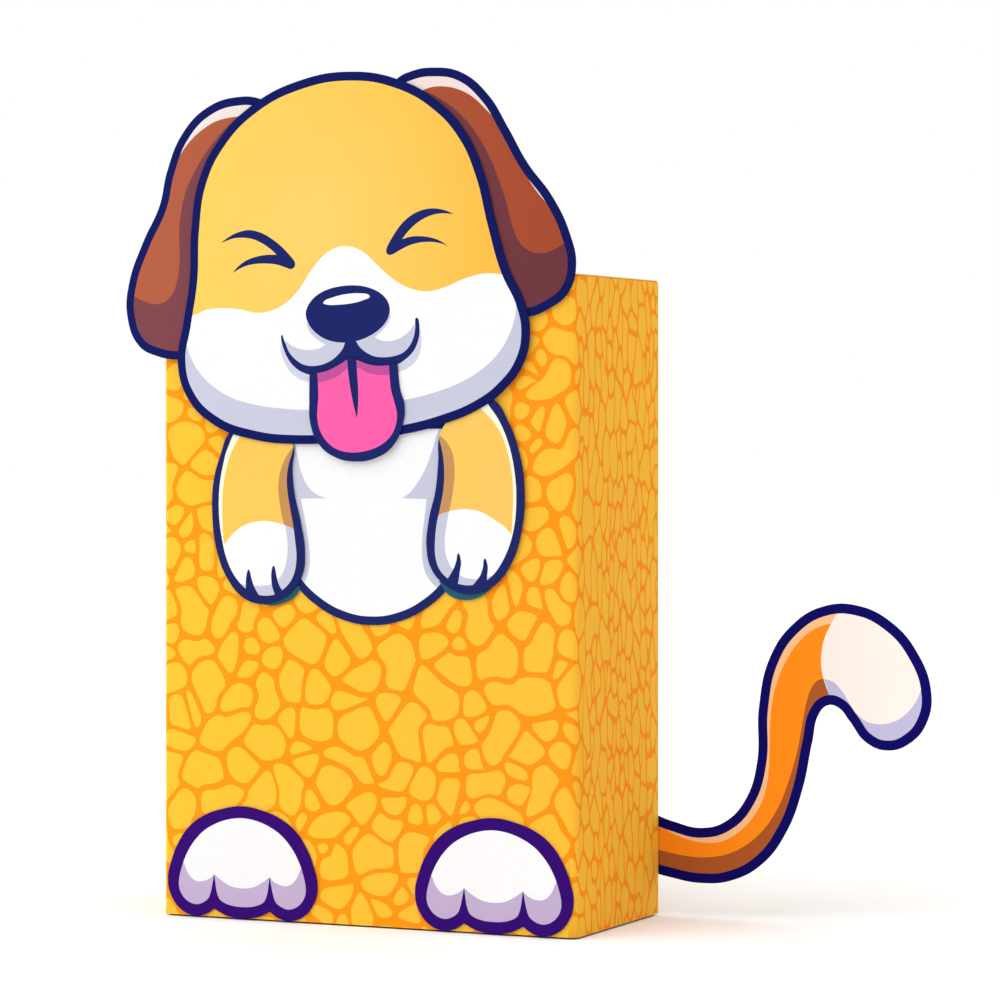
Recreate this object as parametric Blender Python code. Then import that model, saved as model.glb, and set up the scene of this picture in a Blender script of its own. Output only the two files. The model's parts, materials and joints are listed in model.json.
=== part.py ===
"""Puppy paper bag puppet: a gusseted paper bag standing on its open mouth, with card cut-outs on it.

Run in Blender 4.5. Metres, +Z up. The origin is the middle of the front panel's bottom edge,
+X is the viewer's right, -Y is the way the puppy faces.
Paper layers that are glued on the real puppet stand a small gap apart, so each stays its own solid.
"""
import math

import bmesh
import bpy
from mathutils import Matrix, Vector

MM = 0.001

# Driving sizes of the bag
BAG_WIDTH = 180 * MM
BAG_DEPTH = 83 * MM
BAG_HEIGHT = 254 * MM
PAPER = 0.4 * MM
CARD = 0.5 * MM
GAP = 0.3 * MM

# Heights: wall panels, then the gusset tucks, then the roof on top of them
PANEL_TOP = BAG_HEIGHT - 2 * (PAPER + GAP)
TUCK_UNDERSIDE = PANEL_TOP + GAP
ROOF_UNDERSIDE = TUCK_UNDERSIDE + PAPER + GAP
FLAP_BOTTOM = 208 * MM

# Depths: outer faces of the bag, and the rear face of each layer in front of it
HALF_WIDTH = BAG_WIDTH / 2
FRONT_FACE = -PAPER / 2
BACK_FACE = FRONT_FACE + BAG_DEPTH
FRONT_INSIDE = FRONT_FACE + PAPER
BACK_INSIDE = BACK_FACE - PAPER
FIRST_LAYER = FRONT_FACE - GAP
HEM_LAYER = FIRST_LAYER - PAPER - GAP
SECOND_LAYER = FIRST_LAYER - CARD - GAP
HEAD_LAYER = SECOND_LAYER - CARD - GAP
TONGUE_LAYER = HEAD_LAYER - CARD - GAP
BACK_LAYER = BACK_FACE + GAP

# Joint axes
GUSSET_AXIS_X = HALF_WIDTH - PAPER
FRONT_FOLD_Y = FRONT_INSIDE + GAP
REAR_FOLD_Y = BACK_INSIDE - GAP
MID_FOLD_Y = (FRONT_FOLD_Y + REAR_FOLD_Y) / 2
PAW_CREASE_Z = 176 * MM
TONGUE_CREASE_Z = 223 * MM
TAIL_CREASE_X = HALF_WIDTH + 0.8 * MM
TAIL_CREASE_GAP = 1.0 * MM

# Paper layers and cut-outs
SEAM_X = -62 * MM
SEAM_WIDTH = 18 * MM
HEM_HALF_WIDTH = 38 * MM
HEM_HEIGHT = 20 * MM
FLAP_TOP_HALF_WIDTH = 84 * MM
FLAP_BOTTOM_HALF_WIDTH = 45 * MM
FOOT_X = 55 * MM
FOOT_X_SHIFT = 0.6 * MM

CURVE_STEPS = 10
WELD = 1e-6

# Outlines in millimetres as (x, z), smooth through each point; CORNER marks a sharp one.
CORNER = "corner"

HEAD_OUTLINE = [
    (-5, 334.5), (15.5, 330.7), (32.6, 321.5), (44.6, 309), (52.1, 293.5), (57.3, 274),
    (62.7, 256.5), (69.4, 243), (71.6, 231.5), (69, 220), (61.3, 210), (50.5, 202.5),
    (34.8, 196.5), (17.5, 192.5), (-5, 189.8), (-29, 188.6), (-49, 190.5), (-66.4, 196.3),
    (-78.2, 207), (-82.6, 221), (-80, 237), (-77.2, 254), (-76.4, 274), (-73, 293.5),
    (-64, 309.5), (-49, 322.8), (-28.3, 331.7),
]
LEFT_EAR_OUTLINE = [
    (-45, 325), (-56, 326.4), (-70, 322.5), (-81, 312.5), (-88, 297.5), (-91.4, 284),
    (-99, 269.5), (-105.5, 253), (-106.3, 240), (-101, 228), (-92.5, 223.7), (-82, 222.2),
    (-72, 223), (-69, 240), (-67.5, 265), (-64.5, 290), (-52, 309), (-38, 320),
]
RIGHT_EAR_OUTLINE = [
    (14, 330.5), (21, 333.8), (30, 334.8), (42, 332.6), (53.5, 323.5), (62, 310.5), (70, 297),
    (81, 283), (88, 269), (90.5, 257), (87.5, 247), (79.5, 240.8), (69, 237.6),
    (60, 240), (57, 252), (52, 272), (44, 292), (30, 310), (10, 323),
]
TONGUE_OUTLINE = [
    (-22.9, 216.3, CORNER), (-23, 206), (-22.6, 197), (-19, 188.8), (-12, 183.6), (-3, 181.8),
    (6, 183.2), (13.3, 187.8), (17.6, 196), (18.4, 204), (16.6, 210), (15.4, 219.9, CORNER),
    (9, 219.2), (3.5, 219.7), (-4.8, 222.7, CORNER), (-10.5, 219.4), (-16.5, 217),
]
TORSO_CENTRE = (3, 172)
TORSO_RADII = (48, 54.2)
TORSO_SHOULDER = [(40, 198, CORNER), (-34, 198, CORNER)]
LEFT_ARM_OUTLINE = [
    (-60, 192.6), (-63.5, 184.5), (-66.7, 174), (-67.3, 160), (-65.3, 146), (-60.5, 135),
    (-53.5, 127.6), (-46, 125.2), (-38, 126.6), (-31.2, 130.7), (-26.9, 137.5), (-26, 146),
    (-28, 158.5), (-30.6, 169), (-31.5, 179), (-31, 188), (-36, 195.5), (-45, 198), (-54, 197),
]
RIGHT_ARM_OUTLINE = [
    (55.9, 205.7), (62, 197.5), (67, 184.5), (69, 170), (67.8, 156), (63.5, 143), (57, 134.8),
    (49.5, 131.2), (42, 131.2), (35.3, 134.2), (29.7, 139.8), (27.4, 148), (28.4, 159.5),
    (31.2, 170.5), (32.4, 182), (33, 192), (39, 200.5), (47, 206),
]
HALF_FOOT_OUTLINE = [
    (9.5, 43), (18, 39.8), (24, 35.4), (28.3, 29.8), (31.7, 22.5), (33.6, 13.3), (31.6, 6.7),
    (27, 1.8), (21, 0), (16, 1.1), (12.6, 3.3, CORNER), (7, 0.8),
]
FOOT_TOP = (0, 44.5)
FOOT_BOTTOM = (0, 0)
TAIL_OUTLINE = [
    (96.5, 37), (108.5, 35), (119, 38.2), (127.5, 47.5), (132.2, 62), (133, 84), (137.5, 103.5),
    (147, 117), (160, 124.6), (174, 125.2), (188, 119), (198.7, 107.3), (204.4, 92),
    (202.8, 80.5), (196, 72), (186.5, 68.7), (177.5, 71.8), (170.8, 80), (166.3, 84.9),
    (162, 85.7), (158.3, 82.5), (155.3, 71), (151.3, 52.5), (144.5, 35), (134.5, 22),
    (121.5, 14.7), (108, 13), (95, 14.7),
]
TAIL_ROOT = [(80, 18), (62, 22, CORNER), (62, 42, CORNER), (80, 42)]

COLOURS = {
    "bag": (1.0, 0.54, 0.045),
    "bag_inside": (0.92, 0.80, 0.62),
    "head": (1.0, 0.63, 0.10),
    "ear": (0.42, 0.09, 0.035),
    "tongue": (1.0, 0.12, 0.42),
    "belly": (0.95, 0.95, 0.95),
    "arm": (1.0, 0.60, 0.13),
    "foot": (0.93, 0.90, 0.96),
    "tail": (1.0, 0.27, 0.01),
}


def material(name, roughness=0.75):
    """The Principled material of a colour in COLOURS, made once."""
    made = bpy.data.materials.get(name)
    if made:
        return made
    made = bpy.data.materials.new(name)
    made.use_nodes = True
    shader = made.node_tree.nodes["Principled BSDF"]
    shader.inputs["Base Color"].default_value = (*COLOURS[name], 1)
    shader.inputs["Roughness"].default_value = roughness
    shader.inputs["Metallic"].default_value = 0
    return made


def add(name, data, colour, pivot):
    """Puts new object data in the puppet's collection and hangs it from its pivot."""
    made = bpy.data.objects.new(name, data)
    data.materials.append(material(colour))
    PUPPET.objects.link(made)
    hang(made, pivot)
    return made


def hang(child, pivot):
    """Parents a child to a pivot without moving it."""
    if pivot is None:
        return
    bpy.context.view_layer.update()
    child.parent = pivot
    child.matrix_parent_inverse = pivot.matrix_world.inverted()


def pivot_at(name, x, y, z, parent=None):
    """An empty on a joint's axis, which carries the pieces that the joint moves."""
    empty = bpy.data.objects.new(name, None)
    empty.location = (x, y, z)
    empty.empty_display_size = 10 * MM
    PUPPET.objects.link(empty)
    hang(empty, parent)
    return empty


def paper_sheet(name, low, high, colour, pivot=None):
    """A rectangular sheet between two corners."""
    low = Vector(low)
    high = Vector(high)
    mesh = bpy.data.meshes.new(name)
    shape = bmesh.new()
    size = Matrix.Diagonal((*(high - low), 1))
    bmesh.ops.create_cube(shape, size=1, matrix=Matrix.Translation((low + high) / 2) @ size)
    shape.to_mesh(mesh)
    shape.free()
    return add(name, mesh, colour, pivot)


def flat_curve(name, outline, thickness):
    """A filled 2D curve through outline points, in its own XY plane."""
    curve = bpy.data.curves.new(name, "CURVE")
    curve.dimensions = "2D"
    curve.fill_mode = "BOTH"
    curve.extrude = thickness / 2
    curve.resolution_u = CURVE_STEPS
    curve.render_resolution_u = 0
    spline = curve.splines.new("BEZIER")
    spline.use_cyclic_u = True
    spline.bezier_points.add(len(outline) - 1)
    for knot, point in zip(spline.bezier_points, outline):
        kind = "VECTOR" if CORNER in point else "AUTO"
        knot.handle_left_type = kind
        knot.handle_right_type = kind
        knot.co = (point[0] * MM, point[1] * MM, 0)
    return curve


def card(name, outline, rear_face, colour, pivot=None, thickness=CARD):
    """A cut-out that stands upright, its rear face at the given depth."""
    made = add(name, flat_curve(name, outline, thickness), colour, None)
    made.location = (0, rear_face - thickness / 2, 0)
    made.rotation_euler = (math.pi / 2, 0, 0)
    hang(made, pivot)
    return made


def lying_sheet(name, outline, underside, colour, pivot):
    """A sheet that lies flat, its underside at the given height."""
    made = add(name, flat_curve(name, outline, PAPER), colour, None)
    made.location = (0, 0, underside + PAPER / 2)
    hang(made, pivot)
    return made


def trimmed_card(name, outline, rear_face, cut_at, away, colour, pivot=None):
    """A cut-out trimmed by a plane: what lies on the away side of cut_at is taken off."""
    whole = card(name + "_whole", outline, rear_face, colour)
    bpy.context.view_layer.update()
    evaluated = whole.evaluated_get(bpy.context.evaluated_depsgraph_get())
    mesh = bpy.data.meshes.new_from_object(evaluated)
    shape = bmesh.new()
    shape.from_mesh(mesh)
    shape.transform(whole.matrix_world)
    bmesh.ops.remove_doubles(shape, verts=shape.verts, dist=WELD)
    everything = shape.verts[:] + shape.edges[:] + shape.faces[:]
    bmesh.ops.bisect_plane(shape, geom=everything, dist=WELD, plane_co=cut_at, plane_no=away,
                           clear_outer=True)
    bmesh.ops.holes_fill(shape, edges=[edge for edge in shape.edges if edge.is_boundary])
    bmesh.ops.recalc_face_normals(shape, faces=shape.faces)
    mesh.name = name
    mesh.materials.clear()
    shape.to_mesh(mesh)
    shape.free()
    bpy.data.objects.remove(whole)
    return add(name, mesh, colour, pivot)


def wall_panels():
    """The front panel, both gussets folded at their middles, and the back panel with its seam."""
    paper_sheet("front_panel", (-HALF_WIDTH, FRONT_FACE, 0), (HALF_WIDTH, FRONT_INSIDE, PANEL_TOP),
                "bag")
    rear_pivots = {}
    for side, sign in (("left", -1), ("right", 1)):
        inner = sign * GUSSET_AXIS_X
        outer = sign * HALF_WIDTH
        front_pivot = pivot_at(side + "_gusset_pivot", inner, FRONT_FOLD_Y, 0)
        middle_pivot = pivot_at(side + "_gusset_middle_pivot", outer, MID_FOLD_Y, 0, front_pivot)
        rear_pivots[side] = middle_pivot
        left, right = sorted((inner, outer))
        paper_sheet(side + "_gusset_front", (left, FRONT_FOLD_Y, 0),
                    (right, MID_FOLD_Y - GAP / 2, PANEL_TOP), "bag", front_pivot)
        paper_sheet(side + "_gusset_rear", (left, MID_FOLD_Y + GAP / 2, 0),
                    (right, REAR_FOLD_Y, PANEL_TOP), "bag", middle_pivot)
    back_pivot = pivot_at("back_panel_pivot", -GUSSET_AXIS_X, REAR_FOLD_Y, 0, rear_pivots["left"])
    paper_sheet("back_panel", (-HALF_WIDTH, BACK_INSIDE, 0), (HALF_WIDTH, BACK_FACE, PANEL_TOP),
                "bag", back_pivot)
    paper_sheet("back_seam_strip", (SEAM_X - SEAM_WIDTH / 2, BACK_LAYER, 0),
                (SEAM_X + SEAM_WIDTH / 2, BACK_LAYER + PAPER, PANEL_TOP), "bag", back_pivot)
    return back_pivot


def roof(back_pivot):
    """The closed end: a lid hinged on the back panel, with the gusset tucks glued under it."""
    roof_pivot = pivot_at("roof_pivot", 0, BACK_FACE, ROOF_UNDERSIDE, back_pivot)
    paper_sheet("roof_panel", (-HALF_WIDTH, FIRST_LAYER + GAP / 2, ROOF_UNDERSIDE),
                (HALF_WIDTH, BACK_FACE, BAG_HEIGHT), "bag", roof_pivot)
    front = FRONT_FACE / MM
    back = BACK_FACE / MM
    for side, sign in (("left", -1), ("right", 1)):
        edge = sign * HALF_WIDTH / MM
        peak = sign * (HALF_WIDTH - BAG_DEPTH / 2) / MM
        triangle = [(edge, front, CORNER), (peak, (front + back) / 2, CORNER), (edge, back, CORNER)]
        lying_sheet("roof_tuck_" + side, triangle, TUCK_UNDERSIDE, "bag_inside", roof_pivot)
    return roof_pivot


def flap(roof_pivot):
    """The end of the bag hanging over the front, hidden by the head, with its hem turned up."""
    head_pivot = pivot_at("head_pivot", 0, FIRST_LAYER, ROOF_UNDERSIDE, roof_pivot)
    top = (ROOF_UNDERSIDE - GAP / 2) / MM
    bottom = FLAP_BOTTOM / MM
    wide = FLAP_TOP_HALF_WIDTH / MM
    narrow = FLAP_BOTTOM_HALF_WIDTH / MM
    trapezium = [(-wide, top, CORNER), (wide, top, CORNER),
                 (narrow, bottom, CORNER), (-narrow, bottom, CORNER)]
    card("flap_panel", trapezium, FIRST_LAYER, "bag", head_pivot, PAPER)
    paper_sheet("flap_hem", (-HEM_HALF_WIDTH, HEM_LAYER - PAPER, FLAP_BOTTOM),
                (HEM_HALF_WIDTH, HEM_LAYER, FLAP_BOTTOM + HEM_HEIGHT), "bag_inside", head_pivot)
    return head_pivot


def head(head_pivot):
    """The head card with the ears glued behind it and the tongue hanging from the mouth."""
    card("head_card", HEAD_OUTLINE, HEAD_LAYER, "head", head_pivot)
    card("left_ear_card", LEFT_EAR_OUTLINE, SECOND_LAYER, "ear", head_pivot)
    card("right_ear_card", RIGHT_EAR_OUTLINE, SECOND_LAYER, "ear", head_pivot)
    tongue_pivot = pivot_at("tongue_pivot", 0, TONGUE_LAYER, TONGUE_CREASE_Z, head_pivot)
    card("tongue_card", TONGUE_OUTLINE, TONGUE_LAYER, "tongue", tongue_pivot)


def torso():
    """The belly card: the lower half of an oval, closed by the shoulders under the chin."""
    steps = 12
    oval = []
    for step in range(steps + 1):
        angle = math.pi * step / steps
        oval.append((TORSO_CENTRE[0] - TORSO_RADII[0] * math.cos(angle),
                     TORSO_CENTRE[1] - TORSO_RADII[1] * math.sin(angle)))
    card("torso_card", oval + TORSO_SHOULDER, FIRST_LAYER, "belly")


def arms():
    """Each arm is glued down at the shoulder and free from the crease to the paw."""
    for side, outline in (("left", LEFT_ARM_OUTLINE), ("right", RIGHT_ARM_OUTLINE)):
        paw_pivot = pivot_at(side + "_paw_pivot", 0, SECOND_LAYER - CARD, PAW_CREASE_Z)
        trimmed_card(side + "_arm_shoulder", outline, SECOND_LAYER,
                     (0, 0, PAW_CREASE_Z + GAP / 2), (0, 0, -1), "arm")
        trimmed_card(side + "_arm_card", outline, SECOND_LAYER,
                     (0, 0, PAW_CREASE_Z - GAP / 2), (0, 0, 1), "arm", paw_pivot)


def feet():
    """Two equal three-toed feet, each the mirror of its own half."""
    for side, sign in (("left", -1), ("right", 1)):
        middle = (sign * FOOT_X + FOOT_X_SHIFT) / MM
        right_half = [(middle + x, z, *mark) for x, z, *mark in HALF_FOOT_OUTLINE]
        left_half = [(middle - x, z, *mark) for x, z, *mark in reversed(HALF_FOOT_OUTLINE)]
        top = (middle + FOOT_TOP[0], FOOT_TOP[1])
        bottom = (middle + FOOT_BOTTOM[0], FOOT_BOTTOM[1])
        outline = [top, *right_half, bottom, *left_half]
        card(side + "_foot_card", outline, FIRST_LAYER, "foot")


def tail(back_pivot):
    """The tail is glued to the back panel by its root and folds at the bag's edge."""
    outline = TAIL_OUTLINE + TAIL_ROOT
    half_gap = TAIL_CREASE_GAP / 2
    rear_face = BACK_LAYER + CARD
    tail_pivot = pivot_at("tail_pivot", TAIL_CREASE_X, rear_face, 0, back_pivot)
    trimmed_card("tail_tab", outline, rear_face, (TAIL_CREASE_X - half_gap, 0, 0), (1, 0, 0),
                 "tail", back_pivot)
    trimmed_card("tail_card", outline, rear_face, (TAIL_CREASE_X + half_gap, 0, 0), (-1, 0, 0),
                 "tail", tail_pivot)


def build():
    """Models the whole puppet."""
    back_pivot = wall_panels()
    roof_pivot = roof(back_pivot)
    head_pivot = flap(roof_pivot)
    head(head_pivot)
    torso()
    arms()
    feet()
    tail(back_pivot)


for old in list(bpy.data.objects):
    bpy.data.objects.remove(old)
PUPPET = bpy.data.collections.new("puppy_paper_bag_puppet")
bpy.context.scene.collection.children.link(PUPPET)
build()
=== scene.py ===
"""Puppy paper bag puppet: the printed papers, card cut-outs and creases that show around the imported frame.

Every printed piece is one closed thin sheet. Its front is cut into flat inked regions, which are
drawn here in millimetres as (x, z) on the upright cards and as (print place, height) on the bag.
"""
import json
import math
import random

import bpy
import numpy as np
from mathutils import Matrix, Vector, noise
from mathutils.geometry import delaunay_2d_cdt

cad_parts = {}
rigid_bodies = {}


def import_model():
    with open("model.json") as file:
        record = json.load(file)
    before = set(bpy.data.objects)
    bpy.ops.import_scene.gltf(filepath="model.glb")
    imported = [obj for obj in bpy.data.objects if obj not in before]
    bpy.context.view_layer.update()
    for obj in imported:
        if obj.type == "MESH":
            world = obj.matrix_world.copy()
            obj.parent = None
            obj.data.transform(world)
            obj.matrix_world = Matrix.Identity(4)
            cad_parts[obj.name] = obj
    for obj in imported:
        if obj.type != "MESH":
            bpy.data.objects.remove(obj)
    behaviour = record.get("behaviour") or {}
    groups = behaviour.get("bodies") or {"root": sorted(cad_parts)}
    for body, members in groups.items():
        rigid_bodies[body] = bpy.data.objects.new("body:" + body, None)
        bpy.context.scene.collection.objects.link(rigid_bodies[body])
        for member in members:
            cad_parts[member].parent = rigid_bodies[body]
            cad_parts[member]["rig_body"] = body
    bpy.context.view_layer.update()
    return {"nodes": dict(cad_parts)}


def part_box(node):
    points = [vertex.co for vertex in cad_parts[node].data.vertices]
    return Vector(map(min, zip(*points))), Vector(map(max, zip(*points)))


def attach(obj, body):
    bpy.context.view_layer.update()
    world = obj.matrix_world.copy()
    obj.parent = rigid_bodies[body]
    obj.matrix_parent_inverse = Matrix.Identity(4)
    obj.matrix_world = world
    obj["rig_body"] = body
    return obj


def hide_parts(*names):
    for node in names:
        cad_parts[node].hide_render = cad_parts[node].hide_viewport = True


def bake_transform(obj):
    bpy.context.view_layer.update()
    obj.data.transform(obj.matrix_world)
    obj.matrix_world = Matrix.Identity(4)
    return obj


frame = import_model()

MM = 0.001
QUARTER_TURN = math.pi / 2
CORNER = "corner"

# In millimetres: how near two points are one, how near a side lies along a cut, and how far a
# fold's lines run past a sheet
SAME_SPOT = 1e-5
NEAR = 0.05
PAST = 1

# The studio, in metres and degrees. The camera stands level, and its shift lowers the picture.
FLOOR_REACH = 9
FLOOR_LEVEL = -0.7 * MM
FLOOR_GREY = 0.9
FLOOR_ROUGHNESS = 0.9
KEY_STRENGTH = 1.3
KEY_SOFTNESS = 70
KEY_DIRECTION = (0.3, 0.65, -0.7)
CAMERA_LENS = 137.9
CAMERA_SHIFT = -0.0758
CAMERA_PLACE = (0.6712, -1.3432, 0.1964)
CAMERA_TURN = 24.54

# How brightly the studio lights the front of the puppet, which ink colours are divided by
FRONT_LIGHT = 1.36

# Inks and papers: the colour in sRGB, or the two that it runs between from left to right, which is painted
# light and shade: most are lighter on the left, where the light falls
INKS = {
    "navy": [(14, 25, 100), (12, 21, 92)],
    "mark_navy": [(26, 37, 105), (28, 39, 109)],
    "arm_navy": [(29, 39, 104)],
    "face_yellow": [(260, 221, 96), (258, 191, 70)],
    "white": [(257, 257, 258)],
    "lilac": [(211, 213, 233), (203, 206, 224)],
    "pale_lilac": [(219, 220, 237), (215, 216, 232)],
    "ear_brown": [(189, 100, 71), (170, 76, 46)],
    "ear_dark": [(134, 73, 81), (112, 55, 62)],
    "ear_light": [(253, 239, 234), (247, 225, 219)],
    "tongue_pink": [(259, 102, 178), (259, 98, 176)],
    "tongue_shade": [(199, 85, 160)],
    "arm_yellow": [(259, 212, 93), (258, 206, 103)],
    "arm_cream": [(257, 256, 231)],
    "arm_tan": [(210, 150, 86), (203, 153, 100)],
    "teal": [(36, 94, 114)],
    "violet": [(56, 4, 121), (52, 3, 116)],
    "violet_shade": [(207, 186, 222), (201, 181, 215)],
    "tail_blue": [(8, 4, 105)],
    # The tail's inks from here on are made lighter: painted light that makes up for the shade the tail
    # stands in behind the bag
    "tail_orange": [(272, 154, 26)],
    "tail_light": [(264, 211, 154)],
    "tail_shadow": [(182, 96, 44)],
    "tail_tip": [(264, 256, 250)],
    "tail_tip_shade": [(205, 201, 238)],
    "bag_yellow": [(264, 208, 60), (264, 198, 60)],
    "bag_orange": [(264, 165, 20), (264, 156, 20)],
    # Lighter inks for a fold: a painted highlight on the rounded edge that faces the light
    "worn_bag_yellow": [(268, 232, 80)],
    "worn_bag_orange": [(268, 190, 45)],
    "bare_card": [(243, 240, 233)],
    "inside_paper": [(228, 172, 112)],
}

# Inks with a painted pool of light, which fade into a paler colour round a spot: its place as (x, z) and its
# reach in millimetres, and its colour
PAINTED_LIGHT_SPOTS = {"face_yellow": ((-23, 273), 75, (260, 216, 112))}

# How the paper's fibres and its slow mottling look: their scales per metre, the shares of the ink's
# brightness that they range over and the noise that gives the ends of that range, and the
# roughness and relief that the fibres give
FIBRE_SCALE = (500, 500, 1400)
FIBRE_SHARES = (0.965, 1.035)
MOTTLE_SCALE = 28
MOTTLE_SHARES = (0.985, 1.015)
PATTERN_RANGE = (0.25, 0.75)
INK_ROUGHNESS = (0.55, 0.85)
INK_GLOSS = 0.06
FIBRE_RELIEF = 0.04 * MM
RELIEF_STRENGTH = 0.25

# The bag, in millimetres
HALF_WIDTH = 90
FRONT_FACE = -0.2
BACK_FACE = 82.8
SIDE_DEPTH = BACK_FACE - FRONT_FACE
WALL_TOP = 253.4
FRONT_TOP = 253.1
BAG_TOP = 254
PAPER = 0.4
CARD = 0.5

# How far the upright folds are rounded: left rear, left front, right front, and right rear, where
# the back and the gusset come apart and leave a narrow open seam
FOLD_RADII = (1.4, 1.4, 3.2, 0)
OPEN_SEAM = 0.05
TOP_FOLD_RADIUS = 1.1
FOLD_STEPS = 6
GUSSET_CREASE = 2
# The folds printed in the lighter inks: a painted highlight on the left front edge
PAINTED_HIGHLIGHT_FOLDS = ("left_front_fold",)

# The tucks are drawn thinner than paper and just under the roof, clear of the walls' top edges
TUCK = 0.1
TUCK_GAP = 0.05

# The giraffe print runs right round the bag. Each wall takes the same length of print, so the
# gussets squeeze theirs. Print place 0 is the middle of the front.
WALL_PRINT = 2 * HALF_WIDTH
PRINT_ROUND = 4 * WALL_PRINT
SQUEEZE = SIDE_DEPTH / WALL_PRINT
PRINT_SEED = 11
SEAM_SHIFT = 55
FLAP_PRINT_BOTTOM = 150

# How far past the bag blobs are laid out, and how far past a sheet the field of its blobs reaches
PRINT_MARGIN = 8
FIELD_MARGIN = 99

# How the blobs are laid out: (mean radius, how many places are tried) from the biggest down, how
# far a radius strays from the mean, how close neighbours come, and how far a cell can reach
BLOB_RADII = ((7.6, 80), (5.2, 500), (3.9, 2200), (2.9, 1500))
RADIUS_SPREAD = (0.8, 1.2)
PACKING = 0.85
CELL_REACH = 26
MERGE_CHANCE = 0.45
LARGEST_MERGER = 10.5

# How a blob is drawn: the printed line's half width, the least area and side that are kept, how
# far its corners are rounded, and the slow waves that bend its outline
LINE_HALF_WIDTHS = (0.65, 1.25)
SMALLEST_BLOB = 6
SHORTEST_SIDE = 2.6
CORNER_REACH = 3.4
CORNER_SHARE = 0.48
CORNER_STEPS = 4
SHARPEST_SPREAD = 0.5
WAVE_LENGTH = 9
WAVE_HEIGHT = 1.1

# Outlines of the inked regions. A plain list is a closed loop; "edge" lists are closed by area().
# Those of a half foot are mirrored.
MUZZLE_EDGE = [
    (-84, 238.5), (-75, 240), (-69.5, 242), (-62, 242.6), (-54.5, 242), (-47, 240.6), (-40, 241.4),
    (-34, 244.2), (-28, 249.5), (-23, 256.5), (-17.5, 262.4), (-12.5, 265.4), (-6.5, 266.2), (0, 264),
    (6, 259), (13, 253.2), (20, 249.5), (28, 248), (35, 249.3), (43, 252.3), (50, 254.2), (56, 254.5),
    (61.5, 253.5), (70, 251),
]
CHIN_EDGE = [
    (-80, 236), (-78.5, 228), (-76.3, 222.3), (-72.3, 216.5), (-66.3, 211.3), (-57.5, 206.7), (-47, 204),
    (-35.5, 202.6), (-22, 202), (-2, 203), (18, 205.8), (30, 208.4), (41.5, 212.2), (51.3, 217.5),
    (58.5, 223.8), (63, 230.8), (65.5, 238), (66, 246),
]
NOSE = [
    (-25, 239.5), (-23.8, 243.4), (-20.4, 246.9), (-15.4, 249.3), (-9.8, 250.5), (-4.3, 250.8),
    (1.2, 250.2), (6.7, 248.2), (10.4, 245.2), (11.9, 241.5), (11.2, 238), (8.6, 234.5), (4.3, 231.5),
    (-0.6, 229.5), (-5.5, 228.5), (-10.5, 228.5), (-15.4, 229.5), (-19.7, 231.7), (-23.2, 235.1),
]
NOSE_LIGHT = [
    (-17.2, 244.3), (-13, 246.2), (-7, 247.4), (-1, 247.6), (3.1, 246.5), (0.5, 245), (-4.5, 243.8),
    (-10, 243.3), (-15, 243.3),
]
SMILE = [
    (-35.4, 231.8, CORNER), (-34.1, 228.5), (-32.2, 224.6), (-29.1, 221.6), (-26, 219.9), (-22.2, 219.3),
    (-17.9, 219.8), (-13.6, 221.5), (-10.2, 224.2), (-8.3, 226.7), (-7.7, 228.8, CORNER), (-5.5, 229.9),
    (-2.8, 228.8, CORNER), (-1.2, 226.6), (1.2, 224.7), (4.9, 223), (9.2, 222.5), (13.4, 222.9),
    (17.1, 224), (20.1, 226.4), (22.2, 230.2), (22.9, 234), (22.9, 237.3), (23.6, 237.9, CORNER),
    (24.3, 237.3), (24.8, 233.5), (24.4, 229.7), (22.5, 225.3), (18.9, 221.8), (15, 219.6), (11.6, 219.1),
    (8.6, 219), (4.3, 219.4), (0.6, 219.4), (-2.8, 221), (-6.8, 221), (-11.1, 218.4), (-15.4, 217.1),
    (-19.7, 216.1), (-23.5, 216), (-26, 216.7), (-29.1, 218.3), (-32.2, 221.3), (-34.4, 225.2),
    (-35.6, 228.5), (-36, 231.2),
]
LEFT_CHEEK = [
    (-34.1, 229.4, CORNER), (-30.9, 227.3), (-27.2, 226), (-23.5, 225.6), (-19.1, 226.2),
    (-16.2, 227.7, CORNER), (-20.4, 230), (-23.5, 233.1), (-24.8, 236.5, CORNER), (-15.4, 231, CORNER),
    (-7.7, 229.5, CORNER), (-8.6, 225.6), (-12.9, 221.5), (-17.9, 219), (-22.2, 218.5), (-27.2, 219.5),
    (-31.5, 222.5), (-34, 227),
]
RIGHT_CHEEK = [
    (23.2, 235.8, CORNER), (19.5, 231.9), (15.9, 229.7), (12.2, 228.8), (8.6, 229), (5.4, 230.2, CORNER),
    (8.6, 233.1), (11.2, 236), (12.6, 239.5, CORNER), (4.3, 233.5, CORNER), (-4.5, 230, CORNER),
    (-4.5, 228, CORNER), (-0.6, 225.5), (4.3, 222), (10.4, 221.5), (17, 223), (21.5, 226.5), (23.5, 231),
]
LEFT_SMILE_SHADE = [
    (-35.9, 229.8, CORNER), (-36.2, 225.8), (-35, 222), (-33, 218.4), (-30, 215.5), (-26.9, 213.8),
    (-23.3, 212.9, CORNER), (-23.3, 217, CORNER), (-29.1, 219.5), (-33.5, 224),
]
RIGHT_SMILE_SHADE = [
    (15, 220.5, CORNER), (15.1, 216.5, CORNER), (19, 217.9), (22.6, 220.3), (24.8, 223.7), (25.6, 227.5),
    (25.4, 231.3), (24.7, 234, CORNER), (23.5, 229.7), (21.5, 225.3),
]
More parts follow.
